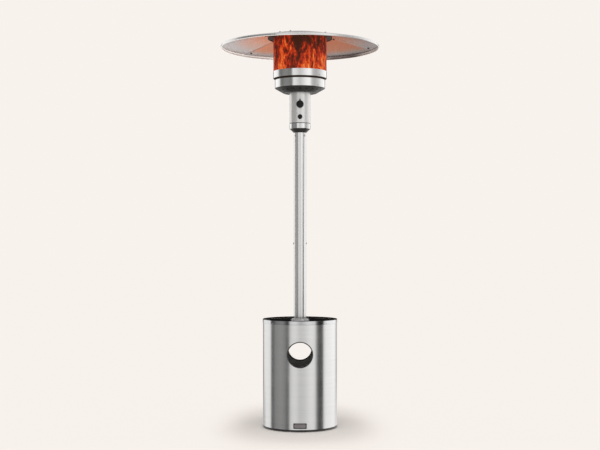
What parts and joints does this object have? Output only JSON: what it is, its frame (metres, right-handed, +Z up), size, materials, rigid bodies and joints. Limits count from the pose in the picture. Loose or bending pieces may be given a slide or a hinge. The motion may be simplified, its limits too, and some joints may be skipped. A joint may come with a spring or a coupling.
{
  "type": "patio heater",
  "caption": "Tall free-standing gas patio heater with a round reflector on a slim post above a lift-off cylindrical bottle housing.",
  "frame": {"origin": "on the floor, on the axis of the post", "axes": "+Z up along the post, -Y towards the control knob and the front hand hole, +X to the right of a person who faces the controls"},
  "size_m": [0.813, 0.813, 2.0165],
  "materials": {
    "brushed_stainless": "brushed round the part, satin",
    "reflector_sheet": "satin stainless sheet",
    "polished_ring": "polished",
    "stainless_screws": "bright machined",
    "zinc_hardware": "dull zinc plate",
    "dark_bolts": "heat-darkened",
    "black_enamel": "satin black enamel",
    "dark_steel": "heat-darkened steel",
    "hot_screen": "perforated, glowing orange to dark red",
    "burner_steel": "heat-tinted steel",
    "cast_iron": "rough cast",
    "brass": "machined",
    "aluminium_tube": "drawn",
    "valve_aluminium": "die cast",
    "copper_lead": "drawn copper",
    "black_rubber": "matt",
    "wheel_plastic": "moulded black",
    "knob_plastic": "moulded black, satin",
    "badge_dark": "bare plate with a dark border"
  },
  "bodies": {
    "stand": {"foot_pads": "black_rubber", "base_pan": "black_enamel", "base_weight": "cast_iron", "leg_right": "black_enamel", "leg_rear_left": "black_enamel", "leg_front_left": "black_enamel", "leg_bolts": "zinc_hardware", "hub_plate": "black_enamel", "hub_bolts": "zinc_hardware", "lower_post": "brushed_stainless", "upper_post": "brushed_stainless", "post_screws": "stainless_screws", "head_screws": "stainless_screws", "gas_inlet_fitting": "brass", "gas_feed_pipe": "aluminium_tube", "wheel_bracket": "black_enamel", "bracket_bolts": "zinc_hardware", "wheel_axle": "zinc_hardware", "axle_caps": "zinc_hardware", "head_socket": "black_enamel", "housing_collar": "brushed_stainless", "control_housing": "brushed_stainless", "housing_screws": "stainless_screws", "gas_valve": "valve_aluminium", "burner_supply_tube": "aluminium_tube", "igniter_body": "knob_plastic", "igniter_bezel": "knob_plastic", "thermocouple": "copper_lead", "spark_electrode": "copper_lead", "pilot_burner": "burner_steel", "tilt_switch": "knob_plastic", "burner_dish": "black_enamel", "lower_band": "brushed_stainless", "burner_deck": "dark_steel", "upper_band": "brushed_stainless", "band_screws": "stainless_screws", "burner_head": "cast_iron", "burner_cap": "burner_steel", "emitter_screen": "hot_screen", "emitter_top_plate": "dark_steel", "reflector_standoffs": "zinc_hardware", "reflector_crown": "reflector_sheet", "reflector_panel_a": "reflector_sheet", "reflector_panel_b": "reflector_sheet", "reflector_panel_c": "reflector_sheet", "reflector_bolts": "dark_bolts", "reflector_nuts": "stainless_screws"},
    "tank_cover": {"tank_shell": "brushed_stainless", "shell_rim": "brushed_stainless", "cover_plate": "black_enamel", "cover_collar": "polished_ring", "front_hole_trim": "black_rubber", "rear_hole_trim": "black_rubber", "cover_rivets": "stainless_screws", "badge_plate": "badge_dark"},
    "valve_stem": {"valve_stem": "brass"},
    "control_knob": {"control_knob": "knob_plastic"},
    "igniter_button": {"igniter_button": "knob_plastic"},
    "right_wheel": {"wheel_right": "wheel_plastic"},
    "left_wheel": {"wheel_left": "wheel_plastic"}
  },
  "joints": [
    {"name": "cover_lift", "type": "slide", "parent": "stand", "child": "tank_cover", "axis": [0, 0, 1], "range_m": [0, 0.95]},
    {"name": "knob_push", "type": "slide", "parent": "stand", "child": "valve_stem", "axis": [0, 1, 0], "range_m": [0, 0.004], "stiffness_N_per_m": 1500},
    {"name": "knob_turn", "type": "hinge", "parent": "valve_stem", "child": "control_knob", "pos_m": [0, -0.072, 1.6505], "axis": [0, -1, 0], "range_deg": [0, 180]},
    {"name": "igniter_press", "type": "slide", "parent": "stand", "child": "igniter_button", "axis": [0, 1, 0], "range_m": [0, 0.006], "stiffness_N_per_m": 1000},
    {"name": "right_wheel_spin", "type": "hinge", "parent": "stand", "child": "right_wheel", "pos_m": [0.098, 0.238, 0.058], "axis": [1, 0, 0], "continuous": true},
    {"name": "left_wheel_spin", "type": "hinge", "parent": "stand", "child": "left_wheel", "pos_m": [-0.098, 0.238, 0.058], "axis": [1, 0, 0], "continuous": true}
  ]
}
